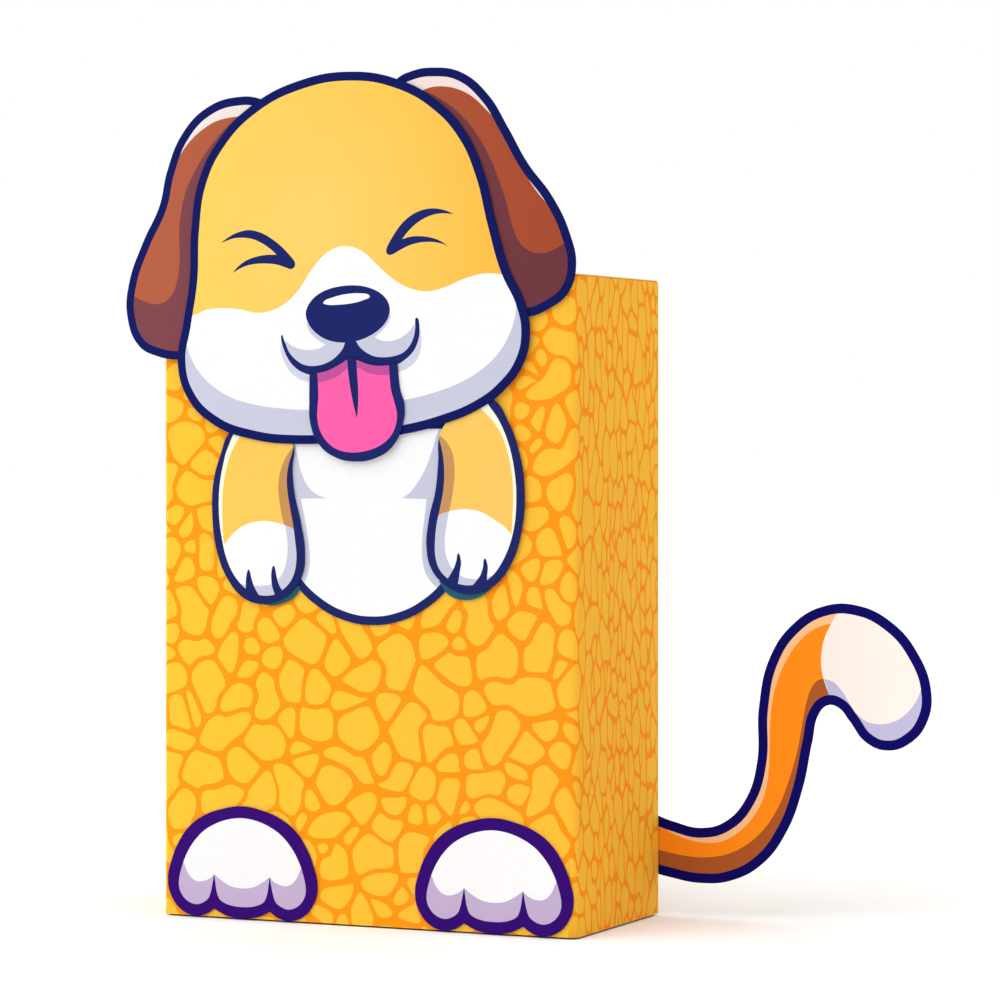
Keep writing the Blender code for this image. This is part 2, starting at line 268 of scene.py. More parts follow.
LEFT_EYE = [
    (-63.2, 268.4, CORNER), (-59.6, 270.7), (-55.9, 272.4), (-50.3, 273.4), (-44.7, 272.1), (-39.5, 269.3),
    (-35.1, 266), (-31.4, 262.3), (-29.8, 260.2), (-30.1, 258.3), (-31.8, 257.6), (-34, 258.3),
    (-38, 259.5), (-43.2, 260), (-48.4, 259.8), (-52.9, 258.8), (-57.8, 256.5, CORNER), (-55.1, 259.1),
    (-51.4, 261.4), (-46.9, 262.8), (-42.5, 263.4), (-38, 263.4, CORNER), (-40.3, 265.4), (-44, 267.8),
    (-48.4, 269.7), (-52.9, 270.4), (-57.4, 270.2), (-60.8, 269.2),
]
RIGHT_EYE = [
    (39.5, 277.6, CORNER), (35.9, 279.2), (30.9, 280.1), (25.9, 279.6), (20.9, 277.5), (16.6, 274),
    (13.4, 269.9), (10.9, 265.9), (10.3, 263.9), (11.2, 262.5), (13, 262.6), (15.9, 264), (20.2, 265.9),
    (25.2, 267), (30.2, 267.1), (33.8, 266.5), (36.9, 265.5, CORNER), (33.1, 267.7), (28.8, 269),
    (23.8, 269.5), (20.2, 269.2), (17.2, 268.4, CORNER), (19.5, 271.1), (23.1, 274.2), (26.7, 276.3),
    (30.9, 277.7), (35.2, 278.1),
]
LEFT_EAR_BROWN_EDGE = [
    (-108, 258), (-98.6, 266.6), (-92.9, 274), (-90.2, 281), (-87.8, 289), (-84.5, 298), (-82.3, 303.5),
    (-78, 309), (-72.5, 313.5), (-65, 317.3), (-54.5, 318.7), (-46, 318),
]
LEFT_EAR_DARK_EDGE = [
    (-50, 322), (-58, 317), (-67, 308.5), (-74, 299.5), (-79, 290.5), (-81.6, 281), (-82.4, 272),
    (-82.2, 263), (-83.2, 254.5), (-85.8, 248.2), (-90, 245), (-96, 245), (-106, 249),
]
RIGHT_EAR_BROWN_EDGE = [
    (12, 322), (24, 325.7), (31, 327.4), (39, 326.6), (46.5, 323.3), (52.6, 318), (59.5, 311), (66, 301.5),
    (70.1, 291.6), (75.6, 284), (83, 276.5), (92, 266),
]
RIGHT_EAR_DARK_EDGE = [
    (12, 329), (24.5, 326.5), (36.5, 320.6), (46.5, 311.5), (53.5, 301), (58.3, 290.5), (61.5, 281.5),
    (64, 272.5), (67.2, 266), (72, 262.5), (77.5, 262), (83, 264), (90, 268.5),
]
TONGUE_INSIDE = [
    (-19.6, 218, CORNER), (-19.1, 211.3), (-19, 206.9), (-19.4, 202.5), (-19.4, 198.1), (-18.1, 193.6),
    (-15, 189.3), (-10.7, 186.5), (-4.5, 185.3), (2.2, 186), (8.3, 188.2), (12.6, 191.7), (14.8, 195.8),
    (15.4, 200.2), (14.4, 204.6), (12.9, 209.5), (12.3, 213.9), (11.8, 222, CORNER), (-2.4, 225, CORNER),
    (-6.4, 225, CORNER),
]
TONGUE_SHADE_EDGE = [
    (-26, 212.4), (-19.2, 212.8), (-15, 213.5), (-10.7, 215.1), (-6.2, 218.1), (-2.1, 218.6), (2.2, 216.7),
    (7.7, 215.6), (12.1, 215.6), (20, 216),
]
TONGUE_LINE = [
    (-6.5, 224, CORNER), (-6, 218), (-5.2, 212), (-3.8, 205.2), (-2.1, 198.6, CORNER), (-1.6, 203),
    (-1.5, 210), (-2, 217), (-2.4, 224, CORNER),
]
LEFT_ARM_INSIDE = [
    (-55, 194.5), (-60.3, 187), (-62.6, 179.5), (-64, 172), (-64.4, 164.5), (-64, 157), (-63, 151),
    (-61.4, 144.5), (-58.8, 138.5), (-55.2, 133.7), (-51, 130.4), (-45.5, 128.6), (-39.3, 129),
    (-35.3, 131.2), (-32, 134.6), (-30.1, 139), (-29.5, 144.5), (-30, 149.5), (-31, 156.5), (-32.6, 164.5),
    (-33.6, 170.5), (-33.8, 175.5), (-33, 180.5), (-31.2, 186), (-30, 194.5),
]
LEFT_ARM_RIM_EDGE = [
    (-50, 200), (-55, 191.5), (-59, 184.5), (-61.2, 177.5), (-62.4, 170.5), (-62.8, 164), (-62.6, 157),
    (-62, 149), (-60.5, 143),
]
LEFT_PAW_TOP_EDGE = [
    (-66, 144), (-62, 148.5), (-57.5, 153.3), (-52.5, 156.5), (-46, 158), (-42, 158), (-37.5, 157.3),
    (-34.5, 156.5), (-28, 154),
]
LEFT_ARM_SHADOW_EDGE = [
    (-27, 190), (-30.8, 187.5), (-34.5, 183), (-36.8, 177.5), (-37.6, 172.5), (-37.4, 168), (-36.5, 162.5),
    (-34.7, 155),
]
LEFT_PAW_SHADE_EDGE = [
    (-60, 134.5), (-56, 133.3), (-51.5, 132.5), (-46, 132.4), (-41, 133), (-37.6, 135), (-35, 139),
    (-33.7, 144), (-33.6, 150.5), (-34.6, 156.6),
]
LEFT_TOES = [
    [(-51.5, 138), (-50.9, 138.7), (-50.3, 137.9), (-49.6, 135.2), (-48.3, 131.8),
     (-45.5, 127.5, CORNER), (-52.5, 127.5, CORNER), (-52.2, 131.5), (-52.1, 135.1)],
    [(-40.3, 139.7), (-39.7, 140.4), (-39.1, 139.6), (-38.4, 136.4), (-37.3, 132.9),
     (-34.8, 129.5, CORNER), (-38.5, 127.5, CORNER), (-40.3, 132), (-40.8, 136.6)],
]
RIGHT_ARM_INSIDE = [
    (50, 208), (54.5, 203), (58.2, 198), (61.6, 191), (64, 183), (65.4, 174), (65.6, 166), (65, 158.5),
    (63.2, 151), (60.2, 144.3), (56.5, 139), (52.5, 135.8), (47.5, 134.3), (42, 134.4), (37, 136.3),
    (33, 140), (31.2, 145), (31, 150.5), (31.7, 157.5), (33.2, 164), (34.6, 171), (35, 178), (34.3, 185),
    (32.6, 191.5), (31, 198),
]
RIGHT_ARM_RIM_EDGE = [
    (45, 207), (50.5, 202.5), (56, 197.3), (59.8, 191.5), (62.4, 184), (63.9, 176), (64.3, 169), (64, 161),
    (63.5, 154), (62, 148),
]
RIGHT_PAW_TOP_EDGE = [
    (28, 158.5), (32, 160.8), (37, 162.6), (41.5, 163.5), (45.8, 163.5), (51.3, 162.3), (57, 159.3),
    (60.8, 156.8), (63.5, 154), (67, 150),
]
RIGHT_ARM_SHADOW_EDGE = [
    (29, 196), (32.5, 192.5), (36, 189.5), (38.6, 185), (39.4, 179), (39.2, 174), (38.4, 168.5), (37, 162),
    (36, 158),
]
RIGHT_PAW_SHADE_EDGE = [
    (37, 162.6), (36, 157.5), (35.2, 151), (35.8, 145.5), (38, 141), (41.7, 137.9), (46.5, 136.7),
    (51.5, 137), (57, 138.5),
]
RIGHT_TOES = [
    [(40.5, 145.7), (41.1, 146.4), (41.7, 145.6), (42.2, 142.7), (41.7, 139.3),
     (40.6, 133, CORNER), (35, 134.5, CORNER), (38.8, 140.1), (40.2, 143.6)],
    [(51.8, 143.9), (52.4, 144.6), (53, 143.8), (53.6, 141.2), (53.3, 137.5), (53.2, 133.5, CORNER),
     (45.5, 132.5, CORNER), (50, 137.5), (51.5, 141.2)],
]
# Teal sheets below the paws: a painted shadow of each paw
LEFT_PAW_SHADOW = [
    (-46.4, 125.4, CORNER), (-40.9, 124.6), (-35.4, 125.8), (-30.6, 128.3), (-28, 132, CORNER),
    (-32, 133.5, CORNER), (-38, 129.5), (-45, 129, CORNER),
]
RIGHT_PAW_SHADOW = [
    (32.5, 135.5, CORNER), (35.7, 131), (39.6, 128.9), (44.4, 128.4), (49.4, 129.5), (54.6, 132.8, CORNER),
    (50, 135, CORNER), (42, 134), (36, 137, CORNER),
]
LEFT_BELLY_SHADE = [
    (-31, 198, CORNER), (-30.3, 188.5), (-29.5, 184), (-28, 178), (-25.3, 172.5), (-21.5, 169),
    (-16.5, 167.3, CORNER), (-28, 167, CORNER), (-26.6, 161), (-25.2, 154), (-24.2, 147), (-24, 141.5),
    (-25, 137), (-27, 132.5, CORNER), (-47, 132.5, CORNER), (-47, 198, CORNER),
]
RIGHT_BELLY_SHADE = [
    (34, 198, CORNER), (31.5, 192.5), (29.8, 187.5), (27.3, 180.8), (24, 174.8), (20.3, 170.3),
    (16.5, 167.5, CORNER), (27, 167.3, CORNER), (26.5, 162.5), (25.5, 155.5), (25, 148.5), (25.3, 143),
    (26.7, 138.3), (29, 135), (32, 132.5, CORNER), (48, 132.5, CORNER), (48, 198, CORNER),
]
HALF_FOOT_INSIDE = [
    (0, 39.8), (6, 39.1), (11.7, 37.2), (17.3, 34), (21.9, 29.4), (25.1, 24.4), (27.4, 18.7), (28.6, 13),
    (27.8, 9.2), (25, 6), (21, 4.6), (17.3, 5.6), (14.7, 8), (12.5, 17, CORNER), (10.5, 7.8), (6.5, 5.3),
    (0, 4.5),
]
HALF_FOOT_SHADE_EDGE = [
    (0, 11.9), (5.1, 12.6), (9.3, 14.7), (12.5, 17, CORNER), (14.3, 15.3), (17.1, 14.1), (20, 13.8),
    (22.6, 14.9), (24.7, 17.3), (26.2, 20.6), (30, 27),
]
TAIL_LIGHT_EDGE = [
    (78, 36), (90, 35), (95, 32.7), (102.5, 30.2), (110, 29.2), (117, 30), (123, 33), (128.5, 37.8),
    (132.7, 43.5), (135.5, 49.8), (137, 57), (137.5, 66), (137.7, 77), (138.6, 86), (140.6, 94),
    (144.3, 102.5), (149.5, 110), (156, 115.4), (163.5, 118), (172, 119.5),
]
TAIL_SHADOW_EDGE = [
    (78, 28), (90, 25.5), (99.5, 23.8), (110, 23.3), (120, 25.2), (128.5, 29.7), (136, 36.7),
    (141.6, 45.5), (145.5, 55), (149, 66.5), (151.4, 78.5), (153, 86.5), (154.9, 92), (157.5, 95.2),
    (161, 96), (170, 94),
]
TAIL_TIP_EDGE = [
    (168, 126), (165.5, 121.5), (162.6, 116.5), (160.2, 111), (159.2, 105), (159.3, 100), (160.5, 95),
    (162.6, 89.5), (165, 84),
]
TAIL_TIP_SHADE_EDGE = [
    (160.4, 96.1), (164.5, 94.8), (168, 91.3), (171, 86.6), (174.2, 82.5), (178.5, 79.6), (184.5, 78.9),
    (190.5, 80.6), (195.5, 84.5), (199, 89.5), (202, 98),
]

# Widths of the printed outlines
HEAD_BORDER = 3.5
EAR_BORDER = 3.4
BELLY_BORDER = 3.4
TAIL_BORDER = 3.9

# The teal sheet that shows below each paw, a painted shadow of the paw
PAW_SHADOW_GAP = 0.05
PAW_SHADOW_THICKNESS = 0.2


def smooth(points, steps=7):
    """A closed loop that runs smoothly through the points and turns sharply at each CORNER."""
    spots = [Vector(point[:2]) for point in points]
    count = len(spots)
    loop = []
    for index, start in enumerate(spots):
        following = (index + 1) % count
        chord = spots[following] - start
        tangents = []
        for near in (index, following):
            if CORNER in points[near]:
                tangents.append(chord)
            else:
                across = spots[(near + 1) % count] - spots[near - 1]
                tangents.append(across.normalized() * chord.length)
        straight = CORNER in points[index] and CORNER in points[following]
        for step in range(1 if straight else steps):
            t = step / steps
            loop.append(start * (2 * t**3 - 3 * t**2 + 1) + tangents[0] * (t**3 - 2 * t**2 + t)
                        + spots[following] * (3 * t**2 - 2 * t**3) + tangents[1] * (t**3 - t**2))
    return loop


def area(edge, *far):
    """The loop that an edge makes with far corners which lie outside the piece."""
    first, last = edge[0], edge[-1]
    return [(*first[:2], CORNER), *edge[1:-1], (*last[:2], CORNER), *((x, z, CORNER) for x, z in far)]


def moved(points, along):
    """The same points, moved along the first coordinate."""
    return [(point[0] + along, *point[1:]) for point in points]


def mirrored(points):
    """The points' mirror image across x = 0, in the reverse order."""
    return [(-point[0], *point[1:]) for point in reversed(points)]


def inset(loop, width):
    """A counterclockwise loop drawn in by a border's width."""
    spots = [Vector(spot) for spot in loop]
    drawn_in = []
    for before, here, after in zip(spots[-1:] + spots[:-1], spots, spots[1:] + spots[:1]):
        run = after - before
        drawn_in.append(here + Vector((-run.y, run.x)).normalized() * width)
    return drawn_in


def inside(spots, loop):
    """Which of the spots, an array of pairs, lie inside a closed loop."""
    corners = np.array([tuple(corner) for corner in loop])
    found = np.zeros(len(spots), bool)
    near = ((spots >= corners.min(axis=0)) & (spots <= corners.max(axis=0))).all(axis=1)
    x, z = spots[near].T
    crossings = np.zeros(len(x), bool)
    for (x0, z0), (x1, z1) in zip(corners, np.roll(corners, -1, axis=0)):
        if z0 != z1:
            spans = (z0 > z) != (z1 > z)
            crossings ^= spans & (x < x0 + (x1 - x0) * (z - z0) / (z1 - z0))
    found[near] = crossings
    return found


def linear(colour):
    """A colour in sRGB steps as the shader's linear colour."""
    parts = [step / 255 for step in colour]
    return [part / 12.92 if part <= 0.04045 else ((part + 0.055) / 1.055) ** 2.4 for part in parts]


def link(tree, source, target):
    """Joins two sockets of a node tree."""
    tree.links.new(source, target)


def ranged(tree, source, measured, shown=(0, 1)):
    """A socket's value, taken from one range to another and held inside it."""
    node = tree.nodes.new("ShaderNodeMapRange")
    for end, value in zip(("From Min", "From Max", "To Min", "To Max"), (*measured, *shown)):
        node.inputs[end].default_value = value
    link(tree, source, node.inputs["Value"])
    return node.outputs["Result"]


def mixed(tree, share, *colours):
    """Two colours mixed by a share. Each is a socket, or a colour in sRGB for the lit front."""
    mix = tree.nodes.new("ShaderNodeMix")
    mix.data_type = "RGBA"
    link(tree, share, mix.inputs["Factor"])
    for socket, colour in zip([socket for socket in mix.inputs if socket.type == "RGBA"], colours):
        if isinstance(colour, tuple):
            socket.default_value = (*(part / FRONT_LIGHT for part in linear(colour)), 1)
        else:
            link(tree, colour, socket)
    return mix.outputs[2]


def speckle(tree, places, scale, detail, roughness):
    """A noise pattern's socket."""
    node = tree.nodes.new("ShaderNodeTexNoise")
    node.inputs["Scale"].default_value = scale
    node.inputs["Detail"].default_value = detail
    node.inputs["Roughness"].default_value = roughness
    link(tree, places, node.inputs["Vector"])
    return node.outputs["Fac"]


def painted_light_pool(tree, places, printed, centre, reach, colour):
    """The printed colour's socket, changed so that it fades into another colour round a spot: a painted pool
    of light.
    """
    distance = tree.nodes.new("ShaderNodeVectorMath")
    distance.operation = "DISTANCE"
    link(tree, places, distance.inputs[0])
    distance.inputs[1].default_value = (centre[0] * MM, 0, centre[1] * MM)
    nearness = ranged(tree, distance.outputs["Value"], (0, reach * MM), (1, 0))
    return mixed(tree, nearness, printed, colour)


def shaded(tree, colour, pattern, shares):
    """A colour whose brightness follows a pattern."""
    node = tree.nodes.new("ShaderNodeVectorMath")
    node.operation = "SCALE"
    link(tree, colour, node.inputs[0])
    link(tree, ranged(tree, pattern, PATTERN_RANGE, shares), node.inputs["Scale"])
    return node.outputs["Vector"]


def ink_colour(tree, places, name):
    """The printed colour, with painted light: it shifts from left to right as the light falls, and may fade
    into a painted pool of light round a spot.
    """
    axes = tree.nodes.new("ShaderNodeSeparateXYZ")
    link(tree, places, axes.inputs[0])
    # Painted light and shade: the ink runs from its lighter left colour to its right one across the bag
    across = ranged(tree, axes.outputs["X"], (-HALF_WIDTH * MM, HALF_WIDTH * MM))
    colour = mixed(tree, across, INKS[name][0], INKS[name][-1])
    return painted_light_pool(tree, places, colour, *PAINTED_LIGHT_SPOTS[name]) if name in PAINTED_LIGHT_SPOTS else colour


def ink(name):
    """Matte ink on paper whose fibres show in its brightness, its roughness and its relief."""
    made = bpy.data.materials.get(name)
    if made:
        return made
    made = bpy.data.materials.new(name)
    made.use_nodes = True
    tree = made.node_tree
    shader = tree.nodes["Principled BSDF"]
    shader.inputs["Specular IOR Level"].default_value = INK_GLOSS
    places = tree.nodes.new("ShaderNodeTexCoord").outputs["Object"]
    stretch = tree.nodes.new("ShaderNodeMapping")
    stretch.inputs["Scale"].default_value = FIBRE_SCALE
    link(tree, places, stretch.inputs["Vector"])
    fibres = speckle(tree, stretch.outputs["Vector"], scale=1, detail=5, roughness=0.65)
    mottle = speckle(tree, places, MOTTLE_SCALE, detail=2, roughness=0.5)
    colour = shaded(tree, ink_colour(tree, places, name), fibres, FIBRE_SHARES)
    link(tree, shaded(tree, colour, mottle, MOTTLE_SHARES), shader.inputs["Base Color"])
    link(tree, ranged(tree, fibres, (0, 1), INK_ROUGHNESS), shader.inputs["Roughness"])
    relief = tree.nodes.new("ShaderNodeBump")
    relief.inputs["Strength"].default_value = RELIEF_STRENGTH
    relief.inputs["Distance"].default_value = FIBRE_RELIEF
    link(tree, fibres, relief.inputs["Height"])
    link(tree, relief.outputs["Normal"], shader.inputs["Normal"])
    return made


def placed(name, data):
    """A new object in the scene."""
    made = bpy.data.objects.new(name, data)
    bpy.context.scene.collection.objects.link(made)
    return made


def divided(outline, art, folds):
    """The points and triangles that the art's loops and the folds divide a sheet into."""
    spots = []
    edges = []
    for loop in [outline, *(loop for _, loop in art[1:])]:
        first = len(spots)
        spots += [Vector(spot[:2]) for spot in loop]
        edges += [(first + step, first + (step + 1) % len(loop)) for step in range(len(loop))]
    for start, end in folds:
        edges.append((len(spots), len(spots) + 1))
        spots += [Vector(start), Vector(end)]
    flat = delaunay_2d_cdt(spots, edges, [], 0, SAME_SPOT)
    points = np.array([tuple(spot) for spot in flat[0]])
    triangles = np.array(flat[2])
    return points, triangles[inside(points[triangles].mean(axis=1), outline)]


def closed_sheet(points, triangles, place):
    """A thin sheet's vertices, and the faces of its front, its back and its rim."""
    used = sorted(set(triangles.ravel()))
    back = len(used)
    number = {point: index for index, point in enumerate(used)}
    vertices = [place(*points[point], depth) for depth in (0, 1) for point in used]
    fronts = [tuple(number[point] for point in triangle) for triangle in triangles]
    backs = [tuple(back + point for point in reversed(face)) for face in fronts]
    sides = {(face[step], face[(step + 1) % 3]) for face in fronts for step in range(3)}
    rims = [(end, start, back + start, back + end)
            for start, end in sorted(sides) if (end, start) not in sides]
    return vertices, fronts, backs, rims


def printed_sheet(name, outline, art, place, backing, rim, folds=()):
    """A closed thin sheet. Its front shows the art's regions, each over the ones before it.

    art is a list of (ink, loop): the first covers the sheet, the second is the field that the
    later ones stay inside. place(u, v, depth) puts a flat point in the world, on the front at
    depth 0 and on the back at depth 1. folds are lines for the sheet to bend along.
    """
    points, triangles = divided(outline, art, folds)
    names = list(dict.fromkeys([ink_name for ink_name, _ in art] + [rim, backing]))
    centres = points[triangles].mean(axis=1)
    inks = np.zeros(len(triangles), int)
    field = inside(centres, art[1][1]) if len(art) > 1 else None
    for ink_name, loop in art[1:]:
        inks[inside(centres, loop) & field] = names.index(ink_name)
    vertices, fronts, backs, rims = closed_sheet(points, triangles, place)
    mesh = bpy.data.meshes.new(name)
    mesh.from_pydata(vertices, [], fronts + backs + rims)
    for ink_name in names:
        mesh.materials.append(ink(ink_name))
    slots = [*inks, *[names.index(backing)] * len(backs), *[names.index(rim)] * len(rims)]
    mesh.polygons.foreach_set("material_index", slots)
    bends = [bool(folds)] * len(fronts + backs) + [False] * len(rims)
    mesh.polygons.foreach_set("use_smooth", bends)
    mesh.update()
    return placed(name, mesh)


def stands_for(piece, node):
    """The piece takes a CAD node's place and moves with the node's body."""
    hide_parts(node)
    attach(piece, frame["nodes"][node]["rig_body"])


# The giraffe print

def clipped(cell, normal, limit, label):
    """A convex cell cut along normal.p = limit. Each corner holds the label of the side after it."""
    kept = []
    for (here, side), (after, _) in zip(cell, cell[1:] + cell[:1]):
        over = normal.dot(here) - limit
        over_after = normal.dot(after) - limit
        if over <= 0:
            kept.append((here, side))
        if (over <= 0) != (over_after <= 0):
            crossing = here.lerp(after, over / (over - over_after))
            kept.append((crossing, label if over <= 0 else side))
    return kept


def print_centres(rng):
    """Centres and radii of the blobs, big ones first, each clear of the ones before it."""
    centres = np.zeros((0, 3))
    for radius, tries in BLOB_RADII:
        for _ in range(tries):
            x = rng.uniform(-PRINT_ROUND / 2, PRINT_ROUND / 2)
            z = rng.uniform(-PRINT_MARGIN, BAG_TOP + PRINT_MARGIN)
            size = radius * rng.uniform(*RADIUS_SPREAD)
            gaps = np.abs(centres[:, 0] - x)
            gaps = np.minimum(gaps, PRINT_ROUND - gaps)
            if (np.hypot(gaps, centres[:, 1] - z) > PACKING * (centres[:, 2] + size)).all():
                centres = np.vstack([centres, (x, z, size)])
    return centres


def print_cells(centres):
    """The cell round each centre: the power diagram of the blobs."""
    count = len(centres)
    around = np.vstack([centres + (turn * PRINT_ROUND, 0, 0) for turn in (-1, 0, 1)])
    square = [Vector(corner) * CELL_REACH for corner in ((-1, -1), (1, -1), (1, 1), (-1, 1))]
    cells = []
    for x, z, size in centres:
        spot = Vector((x, z))
        cell = [(spot + corner, None) for corner in square]
        distances = np.hypot(around[:, 0] - x, around[:, 1] - z)
        for index in np.argsort(distances):
            if distances[index] > CELL_REACH:
                break
            if distances[index] > 0:
                other = Vector(around[index, :2])
                limit = other.length_squared - spot.length_squared + size**2 - around[index, 2]**2
                cell = clipped(cell, other - spot, limit / 2, int(index) % count)
        cells.append(cell)
    return cells


def merged_cells(cells, sizes, rng):
    """Some neighbours run together into one long blob."""
    taken = set()
    outlines = []
    for index, cell in enumerate(cells):
        if index in taken or not cell:
            continue
        taken.add(index)
        corners = [corner for corner, _ in cell]
        labels = [label for _, label in cell]
        partners = {(corners[side] - corners[side - len(corners) + 1]).length: side
                    for side, label in enumerate(labels) if label is not None and label not in taken
                    and sizes[index] + sizes[label] < LARGEST_MERGER
                    and index in [back for _, back in cells[label]]}
        if partners and rng.random() < MERGE_CHANCE:
            here = partners[max(partners)]
            partner = labels[here]
            taken.add(partner)
            there = [label for _, label in cells[partner]].index(index)
            beside = [corner for corner, _ in cells[partner]]
            own = corners[here + 1:] + corners[:here + 1]
            theirs = beside[there + 1:] + beside[:there + 1]
            turn = round((own[-1].x - theirs[0].x) / PRINT_ROUND)
            corners = own + [corner + Vector((turn * PRINT_ROUND, 0)) for corner in theirs[1:-1]]
        outlines.append(corners)
    return outlines


def drawn_in(corners, width):
    """A cell without its very short sides, drawn in by half a printed line."""
    kept = []
    for corner in corners:
        if not kept or (corner - kept[-1]).length > SHORTEST_SIDE:
            kept.append(corner)
    loop = []
    for before, here, after in zip(kept[-1:] + kept[:-1], kept, kept[1:] + kept[:1]):
        arriving = (here - before).normalized()
        leaving = (after - here).normalized()
        normals = Vector((-arriving.y, arriving.x)), Vector((-leaving.y, leaving.x))
        spread = max(1 + normals[0].dot(normals[1]), SHARPEST_SPREAD)
        loop.append(here + (normals[0] + normals[1]) * width / spread)
    return loop


def rounded(corners):
    """A blob's outline: its corners are rounded off, and slow waves bend it."""
    loop = []
    ahead = corners[1:] + corners[:1]
    for before, here, after in zip(corners[-1:] + corners[:-1], corners, ahead):
        start, end = (here + side.normalized() * min(CORNER_REACH, side.length * CORNER_SHARE)
                      for side in (before - here, after - here))
        for step in range(CORNER_STEPS):
            t = step / (CORNER_STEPS - 1)
            spot = start * (1 - t)**2 + here * 2 * t * (1 - t) + end * t**2
            wave = noise.noise_vector(Vector((spot.x / WAVE_LENGTH, spot.y / WAVE_LENGTH, 0)))
            loop.append(spot + wave.xy * WAVE_HEIGHT)
    return loop


def loop_area(loop):
    """The area inside a counterclockwise loop."""
    return sum(here.cross(after) for here, after in zip(loop, loop[1:] + loop[:1])) / 2


def giraffe_print():
    """Every yellow blob of the print, as closed loops in print coordinates."""
    rng = random.Random(PRINT_SEED)
    noise.seed_set(PRINT_SEED)
    centres = print_centres(rng)
    outlines = merged_cells(print_cells(centres), centres[:, 2], rng)
    cells = [drawn_in(corners, rng.uniform(*LINE_HALF_WIDTHS)) for corners in outlines]
    return [rounded(cell) for cell in cells if len(cell) > 2 and loop_area(cell) >= SMALLEST_BLOB]


def printed_area(start, end, bottom, top, shift=0):
    """The art for a stretch of bag paper: orange, with the blobs that reach into it."""
    art = []
    for out in (0, FIELD_MARGIN):
        left, low, right, high = start - out, bottom - out, end + out, top + out
        art.append(("bag_orange", [(left, low), (right, low), (right, high), (left, high)]))
    for loop in BLOBS:
        for turn in (-1, 0, 1):
            along = shift + turn * PRINT_ROUND
            places = [spot.x + along for spot in loop]
            heights = [spot.y for spot in loop]
            across = max(places) > start and min(places) < end
            if across and max(heights) > bottom and min(heights) < top:
                art.append(("bag_yellow", [spot + Vector((along, 0)) for spot in loop]))
    return art


# The bag

# The walls' corners, and the print place of the first one
WALL_CORNERS = [(-HALF_WIDTH, BACK_FACE), (-HALF_WIDTH, FRONT_FACE),
                (HALF_WIDTH, FRONT_FACE), (HALF_WIDTH, BACK_FACE)]
FIRST_WALL = -1.5 * WALL_PRINT


def wall(u, height, depth):
    """A point of the bag's wall, from its place u along the print, with its upright folds rounded."""
    number = math.floor((u - FIRST_WALL) / WALL_PRINT)
    start = Vector(WALL_CORNERS[number % 4])
    end = Vector(WALL_CORNERS[(number + 1) % 4])
    along = (end - start).normalized()
    out = Vector((along.y, -along.x))
    length = (end - start).length
    run = (u - FIRST_WALL - number * WALL_PRINT) * length / WALL_PRINT
    to_corner = min(run, length - run)
    radius = FOLD_RADII[(number if run < length / 2 else number + 1) % 4]
    if to_corner >= radius:
        spot = start + along * run - out * PAPER * depth
    else:
        sign = -1 if run < length / 2 else 1
        corner = start if sign < 0 else end
        angle = QUARTER_TURN / 2 * (1 - to_corner / radius)
        middle = corner - (along * sign + out) * radius
        outward = out * math.cos(angle) + along * sign * math.sin(angle)
        spot = middle + outward * (radius - PAPER * depth)
    return spot.x * MM, spot.y * MM, height * MM


def wall_sheet(name, start, end, folds=(), top=WALL_TOP):
    """One stretch of the bag's wall with its print."""
    art = printed_area(start, end, 0, top)
    # A painted highlight: these folds take the lighter inks
    if name in PAINTED_HIGHLIGHT_FOLDS:
        art = [("worn_" + ink_name, loop) for ink_name, loop in art]
    return printed_sheet(name, art[0][1], art, wall, "inside_paper", "bag_yellow", folds)


def fold_stretches():
    """Where each fold of the walls starts and ends along the print."""
    left_rear, left_front, right_front, _ = FOLD_RADII
    return {
        "left_front_fold": (-HALF_WIDTH - left_front / SQUEEZE, -HALF_WIDTH + left_front),
        "right_front_fold": (HALF_WIDTH - right_front, HALF_WIDTH + right_front / SQUEEZE),
        "left_rear_fold": (FIRST_WALL - left_rear, FIRST_WALL + left_rear / SQUEEZE),
        "left_gusset_fold": (-WALL_PRINT - GUSSET_CREASE, -WALL_PRINT + GUSSET_CREASE),
        "right_gusset_fold": (WALL_PRINT - GUSSET_CREASE, WALL_PRINT + GUSSET_CREASE),
    }


def walls():
    """The flat panels of the four walls."""
    folds = fold_stretches()
    rear_edge = HALF_WIDTH + WALL_PRINT
    panels = {
        "front_panel": (folds["left_front_fold"][1], folds["right_front_fold"][0]),
        "left_gusset_front": (folds["left_gusset_fold"][1], folds["left_front_fold"][0]),
        "left_gusset_rear": (folds["left_rear_fold"][1], folds["left_gusset_fold"][0]),
        "right_gusset_front": (folds["right_front_fold"][1], folds["right_gusset_fold"][0]),
        "right_gusset_rear": (folds["right_gusset_fold"][1], rear_edge - (PAPER + OPEN_SEAM) / SQUEEZE),
        "back_panel": (rear_edge, rear_edge + WALL_PRINT - FOLD_RADII[0]),
    }
    tops = {"front_panel": FRONT_TOP, "back_panel": BAG_TOP - TOP_FOLD_RADIUS}
    for node, (start, end) in panels.items():
        made = wall_sheet("printed_" + node, start, end, top=tops.get(node, WALL_TOP))
        stands_for(made, node)


def wall_folds():
    """The strips between the panels: three corners and two gusset creases."""
    bodies = {
        "left_front_fold": ("left_gusset_front", "front"),
        "right_front_fold": ("front", "right_gusset_front"),
        "left_rear_fold": ("back", "left_gusset_rear"),
        "left_gusset_fold": ("left_gusset_rear", "left_gusset_front"),
        "right_gusset_fold": ("right_gusset_front", "right_gusset_rear"),
    }
    for name, (start, end) in fold_stretches().items():
        lines = [((place, -PAST), (place, WALL_TOP + PAST))
                 for place in np.linspace(start, end, FOLD_STEPS + 1)[1:-1]]
        made = wall_sheet(name, start, end, lines)
        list(bodies[name])
        wall(start, 0, 0)
        wall(end, 0, 0)
        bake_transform(made)


